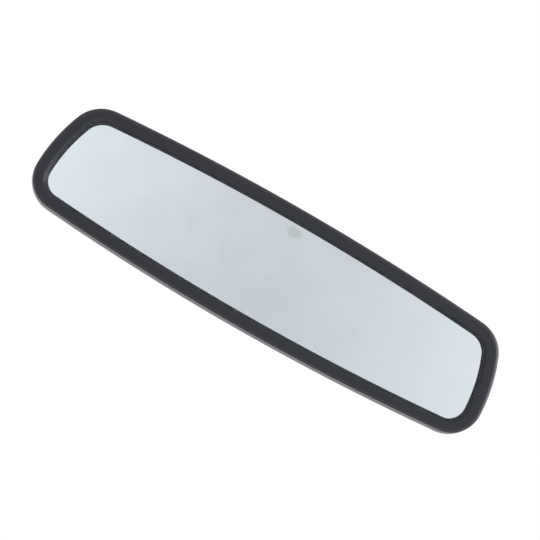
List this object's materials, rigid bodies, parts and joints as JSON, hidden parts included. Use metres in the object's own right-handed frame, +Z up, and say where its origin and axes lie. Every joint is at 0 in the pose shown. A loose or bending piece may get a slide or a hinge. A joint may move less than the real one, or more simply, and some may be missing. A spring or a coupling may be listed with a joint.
{
  "type": "interior rearview mirror",
  "caption": "Auto-dimming interior rearview mirror: a long bezelled mirror head on a double-ball arm that hangs from a bracket locked to a windscreen button.",
  "frame": {"origin": "middle of the button's face that is bonded to the windscreen", "axes": "+Z up, +Y forward out of the car, +X to the driver's right as they look into the mirror; the mirror glass faces -Y"},
  "size_m": [0.255, 0.117, 0.0686],
  "materials": {
    "bezel_plastic": "fine moulded grain, satin",
    "shell_plastic": "fine moulded grain, matt",
    "carrier_plastic": "plain moulded",
    "clear_glass": "polished float glass",
    "mirror_glass": "polished glass with a silver layer",
    "cell_gel": "clear gel",
    "seal_epoxy": "cured bead",
    "foam": "closed-cell foam",
    "bus_clip_metal": "rolled copper alloy strip",
    "board_laminate": "solder mask",
    "chip_plastic": "moulded epoxy",
    "can_metal": "drawn can",
    "connector_plastic": "natural nylon",
    "pin_metal": "plated",
    "wire_jacket": "extruded insulation",
    "clear_plastic": "polished clear moulding",
    "screw_steel": "zinc plated",
    "spring_steel": "drawn wire",
    "nylon": "natural nylon",
    "arm_paint": "satin black powder coat",
    "button_metal": "sintered"
  },
  "bodies": {
    "mount": {"windscreen_button": "button_metal", "mount_bracket": "arm_paint", "bracket_ball_stud": "screw_steel", "set_screw": "screw_steel"},
    "bracket_liner": {"bracket_ball_liner": "nylon"},
    "arm": {"arm_tube": "arm_paint", "arm_spring": "spring_steel", "bracket_spring_seat": "nylon"},
    "head_seat": {"head_spring_seat": "nylon"},
    "head_liner": {"head_ball_liner": "nylon"},
    "head": {"bezel": "bezel_plastic", "front_glass": "clear_glass", "edge_seal": "seal_epoxy", "electrochromic_gel": "cell_gel", "rear_mirror_glass": "mirror_glass", "upper_bus_clip": "bus_clip_metal", "lower_bus_clip": "bus_clip_metal", "upper_clip_wire": "wire_jacket", "lower_clip_wire": "wire_jacket", "foam_pad": "foam", "carrier_plate": "carrier_plastic", "circuit_board": "board_laminate", "glare_sensor": "chip_plastic", "glare_light_pipe": "clear_plastic", "ambient_sensor": "chip_plastic", "ambient_lens": "clear_plastic", "microcontroller": "chip_plastic", "drive_transistor": "chip_plastic", "capacitor_1": "can_metal", "capacitor_2": "can_metal", "connector_header": "connector_plastic", "connector_pin_1": "pin_metal", "connector_pin_2": "pin_metal", "connector_pin_3": "pin_metal", "board_screw_1": "screw_steel", "board_screw_2": "screw_steel", "carrier_screw_1": "screw_steel", "carrier_screw_2": "screw_steel", "carrier_screw_3": "screw_steel", "carrier_screw_4": "screw_steel", "rear_shell": "shell_plastic", "head_ball_stud": "screw_steel", "stud_screw_1": "screw_steel", "stud_screw_2": "screw_steel", "stud_screw_3": "screw_steel"}
  },
  "joints": [
    {"name": "arm_swing", "type": "hinge", "parent": "mount", "child": "bracket_liner", "pos_m": [0, -0.01842, -0.01453], "axis": [0, -0.1392, 0.9903], "range_deg": [-18, 18]},
    {"name": "arm_raise", "type": "hinge", "parent": "bracket_liner", "child": "arm", "pos_m": [0, -0.01842, -0.01453], "axis": [1, 0, 0], "range_deg": [-8, 30]},
    {"name": "head_twist", "type": "hinge", "parent": "arm", "child": "head_seat", "pos_m": [0, -0.06001, -0.02038], "axis": [0, 0.9903, 0.1392], "range_deg": [-15, 15]},
    {"name": "head_turn", "type": "hinge", "parent": "head_seat", "child": "head_liner", "pos_m": [0, -0.06001, -0.02038], "axis": [0, -0.1392, 0.9903], "range_deg": [-20, 20]},
    {"name": "head_tilt", "type": "hinge", "parent": "head_liner", "child": "head", "pos_m": [0, -0.06001, -0.02038], "axis": [1, 0, 0], "range_deg": [-18, 18]}
  ]
}
